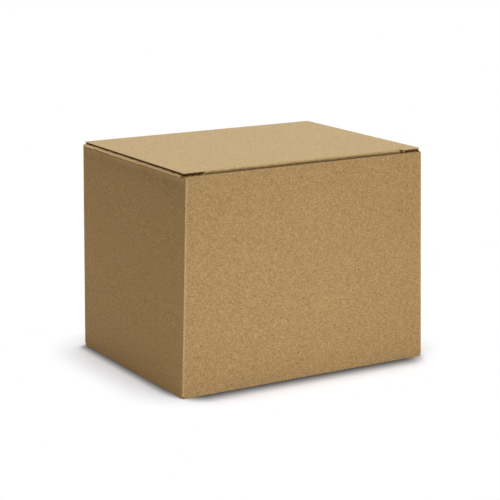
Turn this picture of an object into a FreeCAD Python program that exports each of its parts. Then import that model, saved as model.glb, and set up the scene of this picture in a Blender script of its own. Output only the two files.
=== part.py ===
# Closed shipping carton of corrugated kraft board, with a tuck-in lid and a snap-lock bottom.
# The origin is the middle of the footprint, X runs along the wide front, Y to the back, Z up.
# The carton is one die-cut sheet: four walls and a glue tab, two dust flaps, four bottom flaps
# and the lid with its tuck flap. The lid is a solid of its own, because it swings on its crease.
import FreeCAD, Part
import os
import Sketcher

doc = FreeCAD.newDocument("closed_cardboard_box")

# Driving dimensions, in millimetres, and degrees for the lean of the tuck flap
SIZES = [
    ("box_width", "250"),
    ("box_depth", "196"),
    ("box_height", "198"),
    ("board", "3"),
    ("liner", "0.3"),
    ("flute_medium", "0.25"),
    ("flute_pitch", "6.1"),
    ("flute_crown", "0.75"),
    ("flute_depth", "6"),
    ("edge_groove", "1.5"),
    ("corner_radius", "0.8"),
    ("fold_radius", "2.4"),
    ("tuck_radius", "2.2"),
    ("layer_gap", "0.3"),
    ("foot_radius", "1.6"),
    ("foot_slot", "0.4"),
    ("slot_width", "2.4"),
    ("slot_height", "1.2"),
    ("joint_setback", "2.4"),
    ("glue_tab", "30"),
    ("lid_lift", "1"),
    ("lid_play", "0.3"),
    ("lid_setback", "0.5"),
    ("ear_clip", "3"),
    ("crease_core", "1.1"),
    ("dust_length", "76"),
    ("dust_taper", "14"),
    ("dust_clearance", "1.2"),
    ("tuck_length", "34"),
    ("tuck_play", "0.3"),
    ("tuck_side_play", "1.6"),
    ("tuck_lean", "1.5"),
    ("shoulder_radius", "16"),
    ("slit_length", "23"),
    ("slit_width", "1.2"),
    ("slit_bevel", "2"),
    ("mitre", "14"),
    ("mitre_gap", "1.5"),
    ("first_flap_reach", "112"),
    ("lock_width", "104"),
    ("lock_depth", "22"),
    ("side_flap_reach", "72"),
    ("side_flap_taper", "26"),
    ("last_flap_reach", "98"),
    ("last_flap_taper", "34"),
    ("tongue_reach", "24"),
    ("tongue_play", "3"),
    ("tongue_rise", "16"),
    ("tongue_taper", "8"),
]

sheet = doc.addObject("Spreadsheet::Sheet", "Sizes")
for row, (alias, text) in enumerate(SIZES, start=1):
    sheet.set("A%d" % row, alias)
    sheet.set("B%d" % row, text)
    sheet.setAlias("B%d" % row, alias)
doc.recompute()

# Places that several pieces share, each as an expression on the sheet
SIDE = "(Sizes.box_width / 2)"
END = "(Sizes.box_depth / 2)"
SIDE_INNER = "(%s - Sizes.board)" % SIDE
END_INNER = "(%s - Sizes.board)" % END
LID_UNDER = "(Sizes.box_height - Sizes.board)"
WALL_TOP = "(%s - Sizes.lid_lift)" % LID_UNDER
LAYER = "(Sizes.board + Sizes.layer_gap)"
CORNER = "min(Sizes.corner_radius; 0.85 * Sizes.board)"
FOLD = "min(Sizes.fold_radius; 0.85 * Sizes.board)"
TUCK_FOLD = "min(Sizes.tuck_radius; 0.85 * Sizes.board)"
FOOT = "min(Sizes.foot_radius; 0.85 * Sizes.board)"
FLAP_SIDE = "(%s - %s - Sizes.slot_width)" % (SIDE, CORNER)
FLAP_END = "(%s - %s - Sizes.slot_width)" % (END, CORNER)


def value(expression):
    """Reads what an expression on the sheet comes to now."""
    result = sheet.evalExpression(expression)
    return float(getattr(result, "Value", result))


def draw(sketch, corners):
    """Closes an outline through corners, each held by its two distances from the origin."""
    first = sketch.GeometryCount
    count = len(corners)
    points = [FreeCAD.Vector(value(across), value(along), 0) for across, along in corners]
    for n in range(count):
        sketch.addGeometry(Part.LineSegment(points[n], points[(n + 1) % count]))
    for n in range(count):
        following = first + (n + 1) % count
        sketch.addConstraint(Sketcher.Constraint("Coincident", first + n, 2, following, 1))
    for n, (across, along) in enumerate(corners):
        for kind, distance in (("DistanceX", across), ("DistanceY", along)):
            rule = Sketcher.Constraint(kind, -1, 1, first + n, 1, value(distance))
            sketch.setExpression("Constraints[%d]" % sketch.addConstraint(rule), distance)


def mirrored(corners):
    """Gives an outline's mirror image across the middle of the carton's width."""
    return [("-(%s)" % across, along) for across, along in reversed(corners)]


def body_sketch(body, role, name, height=None):
    """Makes a sketch on one of the body's own origin planes, or at a height above it."""
    plane = [feature for feature in body.Origin.OriginFeatures if feature.Role == role][0]
    sketch = body.newObject("Sketcher::SketchObject", name)
    sketch.AttachmentSupport = (plane, [""])
    sketch.MapMode = "FlatFace"
    if height:
        sketch.setExpression("AttachmentOffset.Base.z", height)
    return sketch


def pad(body, sketch, name, length, both_ways=False):
    """Pads a body's sketch to a length, to one side or half to each."""
    feature = body.newObject("PartDesign::Pad", name)
    feature.Profile = sketch
    feature.setExpression("Length", length)
    feature.SideType = "Symmetric" if both_ways else "One side"
    body.Tip = feature
    doc.recompute()
    return feature


def pocket(body, sketch, name, depth, reverse=False):
    """Cuts a body's sketch to a depth, against its normal or along it."""
    feature = body.newObject("PartDesign::Pocket", name)
    feature.Profile = sketch
    feature.setExpression("Length", depth)
    feature.Reversed = reverse
    body.Tip = feature
    doc.recompute()
    return feature


def fillet(body, name, radius, wanted):
    """Rounds the edges of the body's last feature that the test picks by their ends."""
    base = body.Tip
    edges = []
    for n, edge in enumerate(base.Shape.Edges, start=1):
        if len(edge.Vertexes) == 2 and wanted(edge.Vertexes[0].Point, edge.Vertexes[1].Point):
            edges.append("Edge%d" % n)
    feature = body.newObject("PartDesign::Fillet", name)
    feature.Base = (base, edges)
    feature.setExpression("Radius", radius)
    body.Tip = feature
    doc.recompute()
    return feature


def flutes(body, sketch, middle, width, face, reverse=False):
    """Opens the flutes in a cut edge: hollows that lie in turn against either liner.

    The row is centred on the middle, along the sketch's first axis, and face is where the
    board's nearer liner lies on the other axis.
    """
    crown = "Sizes.flute_crown"
    root = "(Sizes.flute_pitch / 2 - Sizes.flute_crown - Sizes.flute_medium)"
    room = "(%s - 2 * Sizes.liner - 2 * %s)" % (width, root)
    count = "floor(%s / Sizes.flute_pitch + 0.5)" % room
    start = "(%s - (%s - 0.5) * Sizes.flute_pitch / 2)" % (middle, count)
    near_liner = "(%s + Sizes.liner)" % face
    far_liner = "(%s + Sizes.board - Sizes.liner)" % face
    rows = [
        (start, near_liner, far_liner + " - Sizes.flute_medium"),
        (start + " + Sizes.flute_pitch / 2", far_liner, near_liner + " + Sizes.flute_medium"),
    ]
    for centre, base, crest in rows:
        draw(sketch, [
            ("%s - %s" % (centre, root), base),
            ("%s + %s" % (centre, root), base),
            ("%s + %s" % (centre, crown), crest),
            ("%s - %s" % (centre, crown), crest),
        ])
    name = sketch.Name.replace("_section", "")
    first = pocket(body, sketch, name + "_first", "Sizes.flute_depth", reverse)
    row = body.newObject("PartDesign::LinearPattern", name)
    row.Originals = [first]
    row.Direction = (sketch, ["H_Axis"])
    row.Mode = "Spacing"
    row.setExpression("Offset", "Sizes.flute_pitch")
    row.setExpression("Occurrences", count)
    body.Tip = row
    doc.recompute()


def prism(name, turn, corners, length, height=None):
    """Extrudes an outline half to each side of its plane, or up from a height above it."""
    sketch = doc.addObject("Sketcher::SketchObject", name + "_outline")
    sketch.Placement = FreeCAD.Placement(FreeCAD.Vector(), turn)
    draw(sketch, corners)
    if height:
        sketch.setExpression("Placement.Base.z", height)
    solid = doc.addObject("Part::Extrusion", name)
    solid.Base = sketch
    solid.DirMode = "Normal"
    solid.Solid = True
    solid.Symmetric = height is None
    solid.setExpression("LengthFwd", length)
    return solid


def near(point, across=None, along=None, up=None):
    """Tells whether a point lies at the coordinates that are given."""
    pairs = ((point.x, across), (point.y, along), (point.z, up))
    return all(wanted is None or abs(have - wanted) < 1e-4 for have, wanted in pairs)


# Planes that outlines are drawn on: from above, from the front, and from the right end
FROM_ABOVE = FreeCAD.Rotation()
FROM_FRONT = FreeCAD.Rotation(FreeCAD.Vector(1, 0, 0), 90)
FROM_END = FreeCAD.Rotation(FreeCAD.Vector(1, 1, 1), 120)

# The four walls are one bent strip, glued where its tab lies inside the back wall
walls = doc.addObject("PartDesign::Body", "walls")
section = body_sketch(walls, "XY_Plane", "wall_section")
draw(section, [
    ("-" + SIDE, "-" + END),
    (SIDE, "-" + END),
    (SIDE, END_INNER),
    (SIDE + " - Sizes.joint_setback", END_INNER),
    (SIDE + " - Sizes.joint_setback", END),
    ("-" + SIDE, END),
])
draw(section, [
    ("-" + SIDE_INNER, "-" + END_INNER),
    (SIDE_INNER, "-" + END_INNER),
    (SIDE_INNER, END_INNER + " - Sizes.board"),
    (SIDE_INNER + " - Sizes.glue_tab", END_INNER + " - Sizes.board"),
    (SIDE_INNER + " - Sizes.glue_tab", END_INNER),
    ("-" + SIDE_INNER, END_INNER),
])
pad(walls, section, "wall_strip", WALL_TOP)

side = value(SIDE)
end = value(END)
wall_top = value(WALL_TOP)


def upright_fold(start, finish):
    """Picks the three upright folds of the strip and the fold of its glue tab."""
    if abs(start.x - finish.x) > 1e-4 or abs(start.y - finish.y) > 1e-4:
        return False
    on_corner = abs(abs(start.x) - side) < 1e-4 and abs(abs(start.y) - end) < 1e-4
    return on_corner or near(start, across=side, along=value(END_INNER))


fillet(walls, "upright_folds", CORNER, upright_fold)


def corner_slots(name, height, upward, width, depth):
    """Cuts the die's slots between neighbouring flaps, deeper where the tab's fold lies inside."""
    sketch = body_sketch(walls, "XY_Plane", name + "_outline", height)
    corners = [("-", "-", END), ("", "-", END), ("-", "", END), ("", "", END_INNER)]
    for across, along, fold in corners:
        outer_x = "%s(%s + Sizes.board)" % (across, SIDE)
        outer_y = "%s(%s + Sizes.board)" % (along, END)
        inner_x = "%s(%s - %s - %s)" % (across, SIDE, CORNER, width)
        inner_y = "%s(%s - %s - %s)" % (along, fold, CORNER, width)
        draw(sketch, [(outer_x, outer_y), (inner_x, outer_y),
                      (inner_x, inner_y), (outer_x, inner_y)])
    pocket(walls, sketch, name, depth, upward)


FOOT_SLOT = "(max(0; %s - %s) + Sizes.foot_slot)" % (FOOT, CORNER)
corner_slots("bottom_slots", "0", True, FOOT_SLOT, FOOT + " + Sizes.foot_slot")
corner_slots("top_slots", WALL_TOP, False, "Sizes.slot_width", FOLD + " + Sizes.slot_height")


def on_end(start, finish):
    """Tells whether an edge lies in the outer face of an end wall."""
    return abs(abs(start.x) - side) < 1e-4 and abs(abs(finish.x) - side) < 1e-4


def on_front_or_back(start, finish):
    """Tells whether an edge lies in the outer face of the front or back wall."""
    return abs(abs(start.y) - end) < 1e-4 and abs(abs(finish.y) - end) < 1e-4


def foot_fold(start, finish):
    """Picks the outer edge of each fold at the foot."""
    level = near(start, up=0) and near(finish, up=0)
    return level and (on_end(start, finish) or on_front_or_back(start, finish))


def dust_fold(start, finish):
    """Picks the outer edge of each fold that carries a dust flap."""
    level = near(start, up=wall_top) and near(finish, up=wall_top)
    return level and on_end(start, finish)


fillet(walls, "foot_folds", FOOT, foot_fold)
fillet(walls, "dust_folds", FOLD, dust_fold)

# The dust flaps fold in from both ends under the lid, and stop short of the tuck flap's path
TUCK_FACE = "(%s - Sizes.tuck_play)" % END_INNER
HINGE_Y = "(%s - Sizes.board / 2)" % END
HINGE_Z = "(Sizes.box_height - Sizes.board / 2)"
TUCK_ARM = "(%s + %s)" % (HINGE_Y, TUCK_FACE)
LEAN = "(asin(Sizes.tuck_length / (2 * %s)) + Sizes.tuck_lean * 1 deg)" % TUCK_ARM
TUCK_INNER_SWEEP = "(%s * cos(%s) - Sizes.board)" % (TUCK_ARM, LEAN)
DUST_FRONT = "(%s - %s + Sizes.dust_clearance)" % (HINGE_Y, TUCK_INNER_SWEEP)
DUST_BACK = "(%s - Sizes.board - Sizes.dust_clearance)" % END_INNER
DUST_TIP = "(%s - Sizes.dust_length)" % SIDE_INNER
dust_outline = [
    (SIDE_INNER, DUST_FRONT),
    (SIDE_INNER, DUST_BACK),
    (DUST_TIP, DUST_BACK + " - Sizes.dust_taper"),
    (DUST_TIP, DUST_FRONT + " + Sizes.dust_taper"),
]
DUST_UNDER = "(%s - Sizes.board)" % WALL_TOP
dust_flaps = [
    prism("right_dust_flap", FROM_ABOVE, dust_outline, "Sizes.board", DUST_UNDER),
    prism("left_dust_flap", FROM_ABOVE, mirrored(dust_outline), "Sizes.board", DUST_UNDER),
]

# The snap-lock bottom is woven: each flap leaves its fold at the foot and climbs over the next
def bent_flap(name, turn, profile, outline):
    """Trims a board that is bent in one direction to the flap's outline from above."""
    flap = doc.addObject("Part::Common", name)
    flap.Base = prism(name + "_bend", turn, profile, "Sizes.box_width")
    flap.Tool = prism(name + "_shape", FROM_ABOVE, outline, "Sizes.box_height")
    return flap


def climb(wall, outward, run, reach, level):
    """Gives the section of a board that leaves a wall's foot and climbs to a level."""
    top = level + " + Sizes.board"
    start = "%s(%s)" % (outward, wall)
    risen = "%s(%s - %s)" % (outward, wall, run)
    tip = "%s(%s)" % (outward, reach)
    return [(start, "0"), (risen, level), (tip, level),
            (tip, top), (risen, top), (start, "Sizes.board")]


FIRST_TIP = "(%s - Sizes.first_flap_reach)" % END
FIRST_SIDE = "(%s - Sizes.mitre)" % FLAP_SIDE
LOCK_EDGE = "(-%s - Sizes.lock_depth)" % FIRST_TIP
LOCK_SIDE = "(Sizes.lock_width / 2)"
first_flap = bent_flap(
    "first_bottom_flap",
    FROM_END,
    climb(END_INNER, "-", "(Sizes.mitre - Sizes.mitre_gap)", FIRST_TIP, "2 * " + LAYER),
    [
        ("-" + FLAP_SIDE, "-" + END_INNER),
        (FLAP_SIDE, "-" + END_INNER),
        (FIRST_SIDE, "-(%s - Sizes.mitre)" % END_INNER),
        (FIRST_SIDE, "-" + FIRST_TIP),
        (LOCK_SIDE, "-" + FIRST_TIP),
        (LOCK_SIDE, LOCK_EDGE),
        ("-" + LOCK_SIDE, LOCK_EDGE),
        ("-" + LOCK_SIDE, "-" + FIRST_TIP),
        ("-" + FIRST_SIDE, "-" + FIRST_TIP),
        ("-" + FIRST_SIDE, "-(%s - Sizes.mitre)" % END_INNER),
    ],
)

SIDE_TIP = "(%s - Sizes.side_flap_reach)" % SIDE
MITRED_SIDE = "(%s - Sizes.mitre)" % SIDE_INNER
MITRED_END = "(%s - Sizes.mitre)" % FLAP_END
side_outline = [
    (SIDE_INNER, "-" + FLAP_END),
    (SIDE_INNER, FLAP_END),
    (MITRED_SIDE, MITRED_END),
    (SIDE_TIP, "Sizes.side_flap_taper"),
    (SIDE_TIP, "-(%s - Sizes.side_flap_taper)" % MITRED_END),
    (SIDE_TIP + " + Sizes.side_flap_taper", "-" + MITRED_END),
    (MITRED_SIDE, "-" + MITRED_END),
]
side_bend = climb(SIDE_INNER, "", "(Sizes.mitre / 2)", SIDE_TIP, LAYER)
side_flaps = [
    bent_flap("right_bottom_flap", FROM_FRONT, side_bend, side_outline),
    bent_flap("left_bottom_flap", FROM_FRONT, mirrored(side_bend), mirrored(side_outline)),
]

# The last flap lies flat outside, and its tongue climbs through the lock over the first flap
LAST_TIP = "(%s - Sizes.last_flap_reach)" % END
TONGUE_LEVEL = "(3 * %s)" % LAYER
TONGUE_TOP = "(%s + Sizes.board)" % TONGUE_LEVEL
TONGUE_RISEN = "(%s + Sizes.layer_gap)" % LOCK_EDGE
TONGUE_START = "(%s + Sizes.tongue_rise)" % TONGUE_RISEN
TONGUE_TIP = "(%s - Sizes.tongue_reach)" % LOCK_EDGE
TONGUE_SIDE = "(%s - Sizes.tongue_play)" % LOCK_SIDE
last_flat = prism("last_flap_board", FROM_ABOVE, [
    ("-" + FLAP_SIDE, END_INNER),
    ("-(%s - Sizes.mitre)" % FLAP_SIDE, END_INNER + " - Sizes.mitre"),
    ("-(%s - Sizes.mitre - Sizes.last_flap_taper)" % FLAP_SIDE, LAST_TIP),
    ("-" + LOCK_SIDE, LAST_TIP),
    ("-" + LOCK_SIDE, TONGUE_START),
    (LOCK_SIDE, TONGUE_START),
    (LOCK_SIDE, LAST_TIP),
    ("%s - Sizes.mitre - Sizes.last_flap_taper" % FLAP_SIDE, LAST_TIP),
    ("%s - Sizes.mitre" % FLAP_SIDE, END_INNER + " - Sizes.mitre"),
    (FLAP_SIDE, END_INNER),
], "Sizes.board", "0")
tongue = bent_flap(
    "lock_tongue",
    FROM_END,
    [
        (TONGUE_START, "0"),
        (TONGUE_RISEN, TONGUE_LEVEL),
        (TONGUE_TIP, TONGUE_LEVEL),
        (TONGUE_TIP, TONGUE_TOP),
        (TONGUE_RISEN, TONGUE_TOP),
        (TONGUE_START, "Sizes.board"),
    ],
    [
        ("-" + TONGUE_SIDE, TONGUE_START),
        ("-" + TONGUE_SIDE, TONGUE_TIP + " + Sizes.tongue_taper"),
        ("-(%s - Sizes.tongue_taper)" % TONGUE_SIDE, TONGUE_TIP),
        ("%s - Sizes.tongue_taper" % TONGUE_SIDE, TONGUE_TIP),
        (TONGUE_SIDE, TONGUE_TIP + " + Sizes.tongue_taper"),
        (TONGUE_SIDE, TONGUE_START),
    ],
)

# The crease that carries the lid is the crushed core of the board along the back wall's top
crease_neck = prism("crease_neck", FROM_END, [
    (HINGE_Y + " - Sizes.crease_core", WALL_TOP),
    (HINGE_Y + " + Sizes.crease_core", WALL_TOP),
    (HINGE_Y + " + Sizes.crease_core", HINGE_Z),
    (HINGE_Y + " - Sizes.crease_core", HINGE_Z),
], "2 * " + FLAP_SIDE)
crease_round = doc.addObject("Part::Cylinder", "crease_round")
crease_round.Placement.Rotation = FreeCAD.Rotation(FreeCAD.Vector(0, 1, 0), 90)
crease_round.setExpression("Radius", "Sizes.crease_core")
crease_round.setExpression("Height", "2 * " + FLAP_SIDE)
crease_round.setExpression("Placement.Base.x", "-" + FLAP_SIDE)
crease_round.setExpression("Placement.Base.y", HINGE_Y)
crease_round.setExpression("Placement.Base.z", HINGE_Z)

carton = doc.addObject("Part::MultiFuse", "carton_body")
carton.Shapes = [walls] + dust_flaps + [first_flap] + side_flaps + [
    last_flat, tongue, crease_neck, crease_round]
carton.Refine = True

# The lid: first the tuck flap, leaning in so that it swings clear of the front wall
lid = doc.addObject("PartDesign::Body", "tuck_lid")
tuck_section = body_sketch(lid, "YZ_Plane", "tuck_section")
TUCK_TIP_Y = "(-%s + Sizes.tuck_length * sin(%s))" % (TUCK_FACE, LEAN)
TUCK_TIP_Z = "(Sizes.box_height - Sizes.tuck_length * cos(%s))" % LEAN
TUCK_ROOT = "(-%s + Sizes.board / cos(%s))" % (TUCK_FACE, LEAN)
draw(tuck_section, [
    ("-" + TUCK_FACE, "Sizes.box_height"),
    (TUCK_TIP_Y, TUCK_TIP_Z),
    ("%s + Sizes.board * cos(%s)" % (TUCK_TIP_Y, LEAN),
     "%s + Sizes.board * sin(%s)" % (TUCK_TIP_Z, LEAN)),
    (TUCK_ROOT, "Sizes.box_height"),
])
TUCK_SIDE = "(%s - Sizes.tuck_side_play)" % SIDE_INNER
pad(lid, tuck_section, "tuck_flap", "2 * " + TUCK_SIDE, both_ways=True)

tuck_face = value(TUCK_FACE)
box_height = value("Sizes.box_height")
tuck_tip_z = value(TUCK_TIP_Z)


def tuck_fold(start, finish):
    """Picks the outer edge of the fold between the lid and its tuck flap."""
    return near(start, along=-tuck_face, up=box_height) and near(
        finish, along=-tuck_face, up=box_height)


def tuck_corner(start, finish):
    """Picks the two lower corners of the tuck flap, which are edges through the board."""
    across = abs(start.x - finish.x) < 1e-4
    low = value("Sizes.board") + 1e-4
    return across and start.z < tuck_tip_z + low and finish.z < tuck_tip_z + low


fillet(lid, "tuck_fold", TUCK_FOLD, tuck_fold)
fillet(lid, "tuck_corners", "Sizes.shoulder_radius", tuck_corner)

# A slit at each end of the crease frees the lid's corners from the tuck flap's shoulders
SLIT_END = "(%s - Sizes.slit_length)" % SIDE
SLIT_FLOOR = "(%s - Sizes.slit_width)" % LID_UNDER
slit_outline = [
    (SLIT_END, SLIT_FLOOR),
    (SIDE, SLIT_FLOOR),
    (SIDE, "Sizes.box_height + Sizes.board"),
    (SLIT_END, "Sizes.box_height + Sizes.board"),
]
slit_sketch = body_sketch(lid, "XZ_Plane", "slit_outline")
draw(slit_sketch, slit_outline)
draw(slit_sketch, mirrored(slit_outline))
slits = lid.newObject("PartDesign::Pocket", "slits")
slits.Profile = slit_sketch
slits.Type = "ThroughAll"
slits.SideType = "Symmetric"
lid.Tip = slits
doc.recompute()

# The lid's panel reaches over the front wall at its corners and folds down between them
LID_SIDE = "(%s - Sizes.lid_setback)" % SIDE
LID_EAR = "(%s - Sizes.lid_setback)" % END
panel = body_sketch(lid, "XY_Plane", "lid_outline", LID_UNDER)
LID_REAR = "(%s - Sizes.lid_play)" % END_INNER
draw(panel, [
    ("-" + LID_SIDE, "-" + LID_EAR),
    ("-(%s + Sizes.slit_bevel)" % SLIT_END, "-" + LID_EAR),
    ("-" + SLIT_END, TUCK_ROOT),
    (SLIT_END, TUCK_ROOT),
    (SLIT_END + " + Sizes.slit_bevel", "-" + LID_EAR),
    (LID_SIDE + " - Sizes.ear_clip", "-" + LID_EAR),
    (LID_SIDE, "Sizes.ear_clip - " + LID_EAR),
    (LID_SIDE, LID_REAR),
    ("-" + LID_SIDE, LID_REAR),
])
pad(lid, panel, "lid_panel", "Sizes.board")

# The lid's corners are cut across the flutes, its sides along them
EAR_MIDDLE = "((%s + %s + Sizes.slit_bevel) / 2)" % (LID_SIDE, SLIT_END)
EAR_EDGE = "(%s - %s - Sizes.slit_bevel)" % (LID_SIDE, SLIT_END)
for label, across in (("left", "-"), ("right", "")):
    ear = body_sketch(lid, "XZ_Plane", label + "_ear_flutes_section", LID_EAR)
    flutes(lid, ear, across + EAR_MIDDLE, EAR_EDGE, LID_UNDER)

tuck_edge = body_sketch(lid, "XY_Plane", "tuck_flutes_section")
tuck_edge.AttachmentOffset = FreeCAD.Placement(
    FreeCAD.Vector(), FreeCAD.Rotation(FreeCAD.Vector(1, 0, 0), value(LEAN)))
tuck_edge.setExpression("AttachmentOffset.Base.y", TUCK_TIP_Y)
tuck_edge.setExpression("AttachmentOffset.Base.z", TUCK_TIP_Z)
tuck_edge.setExpression("AttachmentOffset.Rotation.Angle", LEAN)
flutes(lid, tuck_edge, "0", "(2 * (%s - Sizes.shoulder_radius))" % TUCK_SIDE, "0", reverse=True)

grooves = body_sketch(lid, "XZ_Plane", "side_grooves_section", "-" + LID_REAR)
groove = [
    (LID_SIDE, LID_UNDER + " + Sizes.liner"),
    (LID_SIDE, "Sizes.box_height - Sizes.liner"),
    (LID_SIDE + " - Sizes.edge_groove", "Sizes.box_height - Sizes.liner"),
    (LID_SIDE + " - Sizes.edge_groove", LID_UNDER + " + Sizes.liner"),
]
draw(grooves, groove)
draw(grooves, mirrored(groove))
pocket(lid, grooves, "side_grooves", "%s + %s" % (LID_REAR, LID_EAR), True)

doc.recompute()

carton.Label = "carton_body"
lid.Label = "tuck_lid"
for thing in doc.Objects:
    if "Invalid" in thing.State or "Error" in thing.State:
        raise RuntimeError("%s did not rebuild: %s" % (thing.Label, thing.State))

os.makedirs("parts", exist_ok=True)
for piece in (carton, lid):
    if piece.Shape.isNull() or not piece.Shape.isValid() or len(piece.Shape.Solids) != 1:
        raise RuntimeError("%s is not one whole solid" % piece.Label)
    piece.Shape.exportStep("parts/%s.step" % piece.Label)
    print(piece.Label, round(piece.Shape.Volume), len(piece.Shape.Faces), piece.Shape.BoundBox)
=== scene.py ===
import math

import bpy
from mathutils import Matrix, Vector


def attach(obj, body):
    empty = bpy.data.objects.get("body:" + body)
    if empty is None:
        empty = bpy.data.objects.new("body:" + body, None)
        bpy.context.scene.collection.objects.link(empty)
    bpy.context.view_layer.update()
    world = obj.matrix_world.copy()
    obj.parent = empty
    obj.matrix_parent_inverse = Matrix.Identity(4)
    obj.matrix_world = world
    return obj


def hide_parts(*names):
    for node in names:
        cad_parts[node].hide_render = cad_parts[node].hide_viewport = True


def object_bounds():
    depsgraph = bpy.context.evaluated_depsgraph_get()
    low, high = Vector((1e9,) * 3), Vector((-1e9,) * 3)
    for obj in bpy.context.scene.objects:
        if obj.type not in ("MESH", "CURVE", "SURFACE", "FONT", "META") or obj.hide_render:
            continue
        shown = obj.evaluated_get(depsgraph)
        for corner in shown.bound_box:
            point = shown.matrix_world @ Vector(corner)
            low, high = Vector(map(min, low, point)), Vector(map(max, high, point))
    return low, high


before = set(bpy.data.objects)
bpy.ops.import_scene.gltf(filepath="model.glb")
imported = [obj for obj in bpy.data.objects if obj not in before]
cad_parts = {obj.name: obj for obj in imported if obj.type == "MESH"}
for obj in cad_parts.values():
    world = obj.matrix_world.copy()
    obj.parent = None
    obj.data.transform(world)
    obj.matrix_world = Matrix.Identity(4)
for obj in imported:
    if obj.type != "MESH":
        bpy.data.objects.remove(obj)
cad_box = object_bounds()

# The walls, dust flaps and bottom flaps are one sheet of corrugated board, bent at the corners.
# It is two liners of brown kraft paper, glued to a fluted medium. The woven bottom pushes the
# foot of the walls out, the tucked lid draws their top in, and the folds are painted pale: partly
# rubbed wear, partly a painted highlight where the rounded folds catch the light.
SIDE, END, HEIGHT = cad_box[1]
BOARD = 0.003
LINER = 0.0003
LID_GAP = 0.001
SLOT_DEPTH = 0.0036
WALL_TOP = HEIGHT - BOARD - LID_GAP
SLOT_FLOOR = WALL_TOP - SLOT_DEPTH
FOLD_DEPTH = 0.0026
FOOT_FOLD = 0.0017
NEAR = 0.0002


def between(first, second, share):
    return first + (second - first) * share


def across(place):
    """Gives 0 at the left end wall and 1 at the right one."""
    return (place.x + SIDE) / (2.0 * SIDE)


def along(place):
    """Gives 0 at the front wall and 1 at the back one."""
    return (place.y + END) / (2.0 * END)


# How far each corner moves across, at its top and at its foot.
FRONT_LEFT = (0.0028, -0.0028)
FRONT_RIGHT = (-0.0019, 0.0037)
BACK_LEFT = (0.001, -0.0019)
BACK_RIGHT = (-0.0015, 0.0015)


def lean(place):
    """Gives how far a point of the walls moves across, in at the top and out at the foot."""
    corners = zip(FRONT_LEFT, BACK_LEFT, FRONT_RIGHT, BACK_RIGHT)
    top, foot = [between(between(front_left, back_left, along(place)),
                         between(front_right, back_right, along(place)), across(place))
                 for front_left, back_left, front_right, back_right in corners]
    return between(foot, top, place.z / HEIGHT)


SLOT_RISE = 0.0041
FRONT_RISE_LEFT, FRONT_RISE_RIGHT = 0.0008, 0.001
SWELL_FRONT, SWELL_BACK = 0.002, 0.001
SWELL_RISE = 0.0008
CREASED = 0.7


def settled_wall(place):
    """Gives how a point of the walls moves, by their lean and by the swelling and creasing of
    their folds.
    """
    move = Vector((lean(place), 0.0, 0.0))
    if abs(place.z - SLOT_FLOOR) < NEAR:
        move.z = SLOT_RISE
    if abs(place.z - WALL_TOP) < NEAR and place.y < BOARD - END + NEAR / 2:
        move.z = between(FRONT_RISE_LEFT, FRONT_RISE_RIGHT, across(place))
    on_fold = place.z > WALL_TOP - FOLD_DEPTH and SIDE - abs(place.x) < FOLD_DEPTH
    if on_fold and abs(place.y) < END - BOARD:
        move.x += math.copysign(between(SWELL_FRONT, SWELL_BACK, along(place)), place.x)
        move.z = SWELL_RISE
    if place.z < FOOT_FOLD:
        if END - abs(place.y) < FOOT_FOLD:
            move.y = math.copysign((END - abs(place.y)) * CREASED, place.y)
            move.z = -CREASED * place.z
        if SIDE - abs(place.x) < FOOT_FOLD:
            move.x += math.copysign((SIDE - abs(place.x)) * CREASED, place.x)
            move.z = -CREASED * place.z
    return move


class Value:
    """The value of a shader socket, which takes part in arithmetic as a number does."""

    def __init__(self, graph, socket):
        self.graph = graph
        self.socket = socket

    def maths(self, operation, first, second=0.0):
        return self.graph.add("Math", {"operation": operation}, {0: first, 1: second})

    def __add__(self, other):
        return self.maths("ADD", self, other)

    __radd__ = __add__

    def __sub__(self, other):
        return self.maths("SUBTRACT", self, other)

    def __rsub__(self, other):
        return self.maths("SUBTRACT", other, self)

    def __mul__(self, other):
        return self.maths("MULTIPLY", self, other)

    __rmul__ = __mul__

    def __abs__(self):
        return self.maths("ABSOLUTE", self)

    def sine(self):
        return self.maths("SINE", self)

    def most(self, other):
        return self.maths("MAXIMUM", self, other)

    def ramp(self, low, high):
        """Rises smoothly from 0 at low to 1 at high, or falls where low is above high."""
        inputs = {"Value": self, "From Min": low, "From Max": high}
        return self.graph.add("MapRange", {"interpolation_type": "SMOOTHSTEP"}, inputs)


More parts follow.
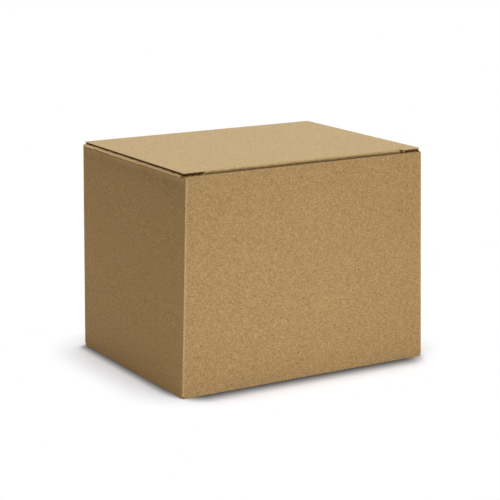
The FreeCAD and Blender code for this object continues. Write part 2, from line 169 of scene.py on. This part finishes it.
class Graph:
    """The node tree of a new material."""

    def __init__(self, name):
        self.material = bpy.data.materials.new(name)
        self.material.use_nodes = True
        self.tree = self.material.node_tree
        self.tree.nodes.clear()

    def add(self, kind, settings, inputs, output=0):
        """Adds a node by its kind, with its settings and inputs, and gives one of its outputs."""
        node = self.tree.nodes.new("ShaderNode" + kind)
        for name, setting in settings.items():
            setattr(node, name, setting)
        for name, given in inputs.items():
            if isinstance(given, Value):
                self.tree.links.new(given.socket, node.inputs[name])
            else:
                node.inputs[name].default_value = given
        return None if output is None else Value(self, node.outputs[output])

    def place(self):
        """Gives the object's own coordinates, as a vector and as its three parts."""
        vector = self.add("TexCoord", {}, {}, "Object")
        parts = [self.add("SeparateXYZ", {}, {"Vector": vector}, axis) for axis in "XYZ"]
        return [vector] + parts

    def stretched(self, vector, factors):
        return self.add("VectorMath", {"operation": "MULTIPLY"}, {0: vector, 1: factors})

    def noise(self, vector, scale, detail=2.0, roughness=0.5):
        inputs = {"Vector": vector, "Scale": scale, "Detail": detail, "Roughness": roughness}
        return self.add("TexNoise", {}, inputs, "Fac")

    def mix(self, factor, first, second):
        """Blends two colours: a Mix node has them at its inputs 6 and 7, and at its output 2."""
        first, second = [colour if isinstance(colour, Value) else (*colour, 1.0)
                         for colour in (first, second)]
        inputs = {0: factor, 6: first, 7: second}
        return self.add("Mix", {"data_type": "RGBA"}, inputs, 2)

    def tint(self, colour, factor):
        """Multiplies a colour by a grey factor."""
        return self.add("VectorMath", {"operation": "SCALE"}, {0: colour, "Scale": factor})

    def bump(self, height, distance, strength):
        inputs = {"Height": height, "Distance": distance, "Strength": strength}
        return self.add("Bump", {}, inputs, "Normal")

    def finish(self, surface):
        """Puts a shader on the surface, and gives the material."""
        self.add("OutputMaterial", {}, {"Surface": surface}, None)
        return self.material


# Paper is made of long fibres that lie along the machine's run, which is across the flutes.
# Its colour clouds a little, and dark specks of bark are scattered through it.
KRAFT = (0.44, 0.292, 0.128)
# The paler paper of the folds: partly rubbed wear, partly a painted highlight.
KRAFT_WORN_AND_HIGHLIT = (0.57, 0.4, 0.2)
KRAFT_INSIDE = (0.4, 0.25, 0.11)
CUT_EDGE = (0.33, 0.2, 0.09)
BARK = (0.16, 0.085, 0.04)
DARK_FIBRE = (0.45, 0.4, 0.28)
LIGHT_FIBRE = (1.55, 1.6, 1.72)
FIBRES, FINE_FIBRES, CLOUDS, SPECKS, CHIPS = 760.0, 1400.0, 26.0, 700.0, 125.0
FINE_SHARE = 0.8
CONTRAST = 1.0 / 1.2
SPECK_EDGES = (0.735, 0.79)
CHIP_EDGES = (0.125, 0.065)
BARK_STRENGTH = 0.55
HIGHLIGHT_AND_WEAR_EVENLY, HIGHLIGHT_AND_WEAR_IN_PATCHES = 0.75, 1.5
ROUGH_SPREAD = 0.25
FIBRE_RELIEF = 0.00012
UPRIGHT_RUN = (0.85, 0.85, 1.0)
EVEN_RUN = (1.0, 1.0, 1.0)


def kraft(name, paper, run, clouds=0.05, grain=1.45, rough=0.62, gloss=0.15, highlight_and_wear=None):
    """Makes a liner's material: run tells how fast the fibres' pattern changes on each axis."""
    graph = Graph(name)
    vector, x, y, z = graph.place()
    fibrous = graph.stretched(vector, run)
    fibre = graph.noise(fibrous, FIBRES, 3.0, 0.6) - 0.5
    fine = graph.noise(vector, FINE_FIBRES, 2.0, 0.6) - 0.5
    cloud = graph.noise(vector, CLOUDS, 3.0, 0.55) - 0.5
    speck = graph.noise(fibrous, SPECKS, 1.0, 0.5).ramp(*SPECK_EDGES)
    chip = graph.add("TexVoronoi", {}, {"Vector": fibrous, "Scale": CHIPS}, "Distance")
    bark = speck.most(chip.ramp(*CHIP_EDGES))
    pattern = cloud * clouds + fibre * grain + fine * (grain * FINE_SHARE)
    shade = 0.5 + pattern * CONTRAST
    dark = [share * part for share, part in zip(DARK_FIBRE, paper)]
    light = [share * part for share, part in zip(LIGHT_FIBRE, paper)]
    colour = graph.mix(bark * BARK_STRENGTH, graph.mix(shade, dark, light), BARK)
    # An optional mask paints the paper paler: a painted highlight, and on the folds also rubbed
    # wear.
    if highlight_and_wear:
        highlight_and_wear_share = highlight_and_wear(x, y, z) * (HIGHLIGHT_AND_WEAR_EVENLY + HIGHLIGHT_AND_WEAR_IN_PATCHES * cloud)
        colour = graph.mix(highlight_and_wear_share, colour, KRAFT_WORN_AND_HIGHLIT)
    return graph.finish(graph.add("BsdfPrincipled", {}, {
        "Base Color": colour,
        "Roughness": rough + fibre * ROUGH_SPREAD,
        "Specular IOR Level": gloss,
        "Normal": graph.bump(fibre * 0.7 + fine * 0.5, FIBRE_RELIEF, 0.5),
    }))


# Each pair tells where the folds' paling, partly rubbed wear and partly painted highlight, is none
# and where it is full.
FOLD_WIDTH = (0.0021, 0.001)
FOLD_THICKNESS = (0.0006, 0.0002)
UNDER_LID = (WALL_TOP - 0.009, WALL_TOP - 0.001)
ON_END_WALL = (SIDE - 0.008, SIDE - 0.005)
OFF_LONG_WALL = (0.0006, 0.0025)
HIGHLIT_UNDER_LID = 1.2


def folds_worn_and_highlit(x, y, z):
    """Masks the upright folds and the end walls' top folds, painted pale: partly rubbed wear,
    partly a painted highlight where they catch the light, and under the lid a painted highlight
    that lifts the shade there.
    """
    upright = 0.0
    for (top, foot), side, end in ((FRONT_LEFT, -SIDE, -END), (FRONT_RIGHT, SIDE, -END),
                                   (BACK_LEFT, -SIDE, END), (BACK_RIGHT, SIDE, END)):
        fold = z * ((top - foot) / HEIGHT) + (side + foot)
        near_fold = abs(x - fold).ramp(*FOLD_WIDTH) * abs(y - end).ramp(*FOLD_THICKNESS)
        upright = near_fold + upright
    on_end_wall = abs(x).ramp(*ON_END_WALL) * (END - abs(y)).ramp(*OFF_LONG_WALL)
    return (z.ramp(*UNDER_LID) * on_end_wall * HIGHLIT_UNDER_LID).most(upright)


PITCH = 0.0061
# The flutes' hollows on a cut edge are painted near black, as painted shade.
FLUTE_GAP_SHADE = (0.045, 0.024, 0.01)
MEDIUM_EDGES = (0.0005, 0.00025)
LINER_EDGES = (0.0005, 0.0003)
TORN_FIBRES = 1500.0


def fluted(name, lengthwise, deep):
    """Makes a cut across the flutes: lengthwise follows it, and deep is 0 in mid board."""
    graph = Graph(name)
    vector, *axes = graph.place()
    wave = (lengthwise(*axes) * (2.0 * math.pi / PITCH)).sine()
    off_medium = abs(deep(*axes) - wave * (BOARD / 2 - 1.5 * LINER))
    off_liner = BOARD / 2 - abs(deep(*axes))
    paper = off_medium.ramp(*MEDIUM_EDGES).most(off_liner.ramp(*LINER_EDGES))
    fibre = graph.noise(vector, TORN_FIBRES, 2.0, 0.6) - 0.5
    return graph.finish(graph.add("BsdfPrincipled", {}, {
        # The gaps between medium and liners take the painted shade of the hollows.
        "Base Color": graph.mix(paper, FLUTE_GAP_SHADE, graph.tint(CUT_EDGE, 0.7 + fibre * 0.5)),
        "Roughness": 0.8,
        "Specular IOR Level": 0.1,
    }))


OUTSIDE, INSIDE, CUT, WORN_AND_HIGHLIT_FOLD, FRONT_EDGE, FLAP_TIP = range(6)
# How much of a face's normal lies along an axis. A bottom flap's slope still faces downward.
SQUARE_ON = 0.9
DOWNWARD = 0.8
SLANTED = 0.1


def carton_finish(place, normal, tall):
    """Tells which paper a face of the walls and flaps shows."""
    on_long_wall = END - abs(place.y) < FOLD_DEPTH
    if SIDE - abs(place.x) < FOLD_DEPTH or on_long_wall:
        if normal.z > SQUARE_ON and on_long_wall:
            return FRONT_EDGE if place.y < 0.0 else CUT
        if normal.x * place.x + normal.y * place.y < -SLANTED / 10:
            return CUT
        folded = min(abs(normal.x), abs(normal.y)) > SLANTED
        at_foot = place.z < FOOT_FOLD and abs(normal.z) > SLANTED
        # Fold arcs, upright and at the foot, get the paler fold paper: partly rubbed wear, partly
        # a painted highlight.
        return WORN_AND_HIGHLIT_FOLD if folded or at_foot else OUTSIDE
    faces_down = normal.z < -DOWNWARD and place.z < BOARD
    faces_up = normal.z > SQUARE_ON and place.z > HEIGHT - 2 * BOARD
    if faces_down or faces_up:
        return OUTSIDE
    if abs(normal.x) > SQUARE_ON and place.z > WALL_TOP - BOARD:
        return FLAP_TIP
    return CUT if abs(normal.z) < 0.5 and tall < 1.2 * BOARD else INSIDE


def dressed(node, name, body, materials, finish_of, shift):
    """Copies a CAD node, gives each face the paper that it shows, and shifts its points."""
    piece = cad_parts[node].copy()
    piece.data = piece.data.copy()
    piece.name = name
    bpy.context.scene.collection.objects.link(piece)
    piece.parent = None
    mesh = piece.data
    mesh.materials.clear()
    for material in materials:
        mesh.materials.append(material)
    for face in mesh.polygons:
        heights = [mesh.vertices[corner].co.z for corner in face.vertices]
        tall = max(heights) - min(heights)
        face.material_index = finish_of(face.center, face.normal, tall)
    for vertex in mesh.vertices:
        vertex.co += shift(vertex.co)
    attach(piece, body)
    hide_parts(node)


inner_kraft = kraft("kraft_inside", KRAFT_INSIDE, UPRIGHT_RUN, clouds=0.07)
edge_kraft = kraft("kraft_cut_edge", CUT_EDGE, EVEN_RUN, clouds=0.1, grain=0.35)
wall_finishes = (
    kraft("kraft_walls", KRAFT, UPRIGHT_RUN, highlight_and_wear=folds_worn_and_highlit),
    inner_kraft,
    edge_kraft,
    # The fold arcs' paper: partly rubbed wear, partly a painted highlight.
    kraft("kraft_fold_wear_and_highlight", KRAFT_WORN_AND_HIGHLIT, UPRIGHT_RUN),
    fluted("kraft_front_edge", lambda x, y, z: x, lambda x, y, z: y + (END - BOARD / 2)),
    fluted("kraft_flap_tip", lambda x, y, z: y, lambda x, y, z: z - (WALL_TOP - BOARD / 2)),
)
dressed("carton_body", "carton_walls", "carton", wall_finishes, carton_finish, settled_wall)

# The lid is the same board, hinged on the back wall, with its tuck flap behind the front wall.
# Its outside is smoother than the walls', and its colour is set a shade paler as a painted
# sheen of the grazing light on the lid; its side edges are cut a little short of the end walls.
KRAFT_LID_WITH_SHEEN = (0.458, 0.306, 0.12)
LEVEL_RUN = (0.85, 1.0, 1.0)
LID_TOP = HEIGHT - 0.5 * LINER
LID_UNDER = HEIGHT - BOARD + 0.5 * LINER
RIM = 0.001


def lid_finish(place, normal, tall):
    """Tells which paper a face of the lid or its tuck flap shows."""
    if normal.z > 0.5:
        return OUTSIDE if place.z > LID_TOP - BOARD / 2 else CUT
    if normal.y < -0.6:
        return CUT if END + place.y < RIM else OUTSIDE
    if normal.z < -SQUARE_ON:
        return INSIDE if LID_UNDER - LINER < place.z < LID_UNDER else CUT
    return INSIDE if normal.y > 0.6 and place.y < 0.0 and tall > BOARD else CUT


# How far each side edge is cut short, at its front and at its back.
TRIM_LEFT = (0.0, 0.0005)
TRIM_RIGHT = (0.001, 0.0003)


def settled_lid(place):
    """Gives how far a point of the lid's side edges is drawn in, by the trim of the real sheet."""
    if abs(place.x) < SIDE - BOARD:
        return Vector()
    front, back = TRIM_LEFT if place.x < 0.0 else TRIM_RIGHT
    return Vector((-math.copysign(between(front, back, along(place)), place.x), 0.0, 0.0))


lid_kraft = kraft("kraft_lid", KRAFT_LID_WITH_SHEEN, LEVEL_RUN, clouds=0.04, grain=1.7, rough=0.5, gloss=0.5)
lid_finishes = (lid_kraft, inner_kraft, edge_kraft)
dressed("tuck_lid", "lid_board", "lid", lid_finishes, lid_finish, settled_lid)

# Along the lid's side edges the lower liner and the last flute are crushed, and stand out below
# the top liner as a ragged lip of paper, with a painted highlight that grows toward the hinge.
LIP_LENGTH = 0.188
LIP_WIDTH = 0.003
LIP_MIDDLE = 0.0005
LIP_DROP = 0.0028
LIP_SLOPE = math.radians(42.0)
LIP_RAGGED = 0.0014
LIP_HIGHLIGHT_ENDS = (-0.16, 0.06)
ORIGIN = (0.0, 0.0, 0.0)
crush = bpy.data.textures.new("crushed_paper", "CLOUDS")
crush.noise_scale = 0.006
crush.noise_depth = 2


def highlit_toward_hinge(x, y, z):
    """Masks the lip's painted highlight, more and more from its front end to its rear one."""
    return y.ramp(*LIP_HIGHLIGHT_ENDS)


lip_kraft = kraft("kraft_lip", KRAFT, UPRIGHT_RUN, highlight_and_wear=highlit_toward_hinge)


def lip(name, side, front, back):
    """Makes a lip on the left (-1) or right (1) edge, at its places across, front and back."""
    bpy.ops.object.select_all(action="DESELECT")
    bpy.ops.mesh.primitive_grid_add(x_subdivisions=3, y_subdivisions=120, size=1.0)
    piece = bpy.context.active_object
    piece.name = name
    turn = math.atan2(back - front, LIP_LENGTH)
    bpy.ops.object.mode_set(mode="EDIT")
    bpy.ops.mesh.select_all(action="SELECT")
    bpy.ops.transform.resize(value=(LIP_WIDTH, LIP_LENGTH, 1.0))
    for value, axis in ((-side * LIP_SLOPE, "Y"), (turn, "Z")):
        bpy.ops.transform.rotate(value=value, orient_axis=axis, center_override=ORIGIN)
    bpy.ops.transform.translate(value=((front + back) / 2, LIP_MIDDLE, HEIGHT - LIP_DROP))
    bpy.ops.object.mode_set(mode="OBJECT")
    ragged = piece.modifiers.new("ragged", "DISPLACE")
    ragged.texture = crush
    ragged.texture_coords = "GLOBAL"
    ragged.direction = "Z"
    ragged.strength = LIP_RAGGED
    thick = piece.modifiers.new("thick", "SOLIDIFY")
    thick.thickness = LINER
    thick.offset = 0.0
    for modifier in ("ragged", "thick"):
        bpy.ops.object.modifier_apply(modifier=modifier)
    piece.data.materials.append(lip_kraft)
    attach(piece, "lid")


lip("lid_lip_left", -1.0, -SIDE + 0.0001, -SIDE + 0.0002)
lip("lid_lip_right", 1.0, SIDE - 0.0019, SIDE - 0.0014)

# The box stands on a white floor that fades to plain white away from it, so only the soft
# shadow near the box shows. Close to the walls a painted contact shadow makes the floor darker
# still, where little light gets under the edge, and round the corners that painted band is rounded
# off.
FLOOR_SIZE = 16.0
FLOOR_PAPER = (0.95, 0.86, 0.75, 1.0)
SHADOW_PAPER = (1.06, 1.085, 1.13, 1.0)
DARKEST = 0.1
DARK_BAND = (-0.001, 0.016)
FRONT_REACH, BACK_REACH = 0.6, 2.0
CORNER_LIGHT = 0.02
SHADOW_FADES = (0.026, 0.064)
bpy.ops.mesh.primitive_plane_add(size=FLOOR_SIZE)
floor = bpy.context.active_object
floor.name = "floor"
graph = Graph("white_floor")
vector, x, y, z = graph.place()
seen = graph.add("LightPath", {}, {}, "Is Camera Ray")
outside = (abs(x) - SIDE).most(abs(y) - END)
beside = (abs(x) - (SIDE - CORNER_LIGHT)).most(0.0)
before = ((-END - y) * FRONT_REACH + CORNER_LIGHT).most(0.0)
behind = ((y - END) * BACK_REACH + CORNER_LIGHT).most(0.0)
corner = graph.add("CombineXYZ", {}, {0: beside, 1: before + behind})
away = graph.add("VectorMath", {"operation": "LENGTH"}, {0: corner}, "Value") - CORNER_LIGHT
open_floor = DARKEST + (1.0 - DARKEST) * away.ramp(*DARK_BAND)
paper = graph.add("BsdfDiffuse", {}, {"Color": FLOOR_PAPER})
black = graph.add("BsdfDiffuse", {}, {"Color": (0.0, 0.0, 0.0, 1.0)})
shaded = graph.add("BsdfDiffuse", {}, {"Color": SHADOW_PAPER})
shadow = graph.add("MixShader", {}, {0: open_floor, 1: black, 2: shaded})
white = graph.add("Emission", {}, {"Color": (1.0, 1.0, 1.0, 1.0), "Strength": 1.0})
near_box = graph.add("MixShader", {}, {0: outside.ramp(*SHADOW_FADES), 1: shadow, 2: white})
surface = graph.add("MixShader", {}, {0: seen, 1: paper, 2: near_box})
floor.data.materials.append(graph.finish(surface))

# Soft studio light: a dim even room, a wide lamp overhead, a lamp at the front, a small card
# near the front wall's foot, and a broad screen at the back.
ROOM_COLOUR = (1.0, 0.9, 0.85, 1.0)
ROOM_STRENGTH = 0.04
world = bpy.data.worlds.new("room")
bpy.context.scene.world = world
world.use_nodes = True
room = world.node_tree.nodes["Background"].inputs
room["Color"].default_value = ROOM_COLOUR
room["Strength"].default_value = ROOM_STRENGTH
middle = Vector((0.0, 0.0, HEIGHT / 2))


def lamp(name, way, distance, size, energy, colour=(1.0, 1.0, 1.0)):
    """Hangs a round soft lamp that faces the box."""
    toward = Vector(way).normalized()
    bpy.ops.object.light_add(type="AREA", location=middle + toward * distance)
    light = bpy.context.active_object
    light.name = name
    light.data.shape = "DISK"
    light.data.size = size
    light.data.energy = energy
    light.data.color = colour
    light.visible_camera = False
    light.rotation_mode = "QUATERNION"
    light.rotation_quaternion = toward.to_track_quat("Z", "Y")


lamp("overhead_lamp", (0.0, 0.0, 1.0), 2.6, 2.1, 78.0)
lamp("foot_card", (-0.02, -0.4, -0.085), 0.41, 0.22, 0.4, (0.94, 1.0, 1.1))
lamp("front_lamp", (0.15, -0.85, 0.15), 1.8, 1.1, 6.2, (0.98, 1.0, 1.02))
lamp("back_screen", (0.5, 0.83, 0.3), 2.6, 2.4, 10.4)

# The camera stands to the left of the front and a little above the lid, far enough off for the
# upright folds to stay nearly parallel, as in the photo.
AZIMUTH = math.radians(-31.0675)
ELEVATION = math.radians(13.0695)
DISTANCE = 1.58125
LOOKS_AT = Vector((-0.00035, 0.00016, 0.09784))
FOCAL_LENGTH = 121.284
SENSOR = 36.0
back = Vector((
    math.sin(AZIMUTH) * math.cos(ELEVATION),
    -math.cos(AZIMUTH) * math.cos(ELEVATION),
    math.sin(ELEVATION),
))
bpy.ops.object.camera_add(location=LOOKS_AT + back * DISTANCE)
camera = bpy.context.active_object
camera.data.sensor_width = SENSOR
camera.data.lens = FOCAL_LENGTH
camera.rotation_mode = "QUATERNION"
camera.rotation_quaternion = (-back).to_track_quat("-Z", "Y")
bpy.context.scene.camera = camera
bpy.context.scene.view_settings.view_transform = "Standard"
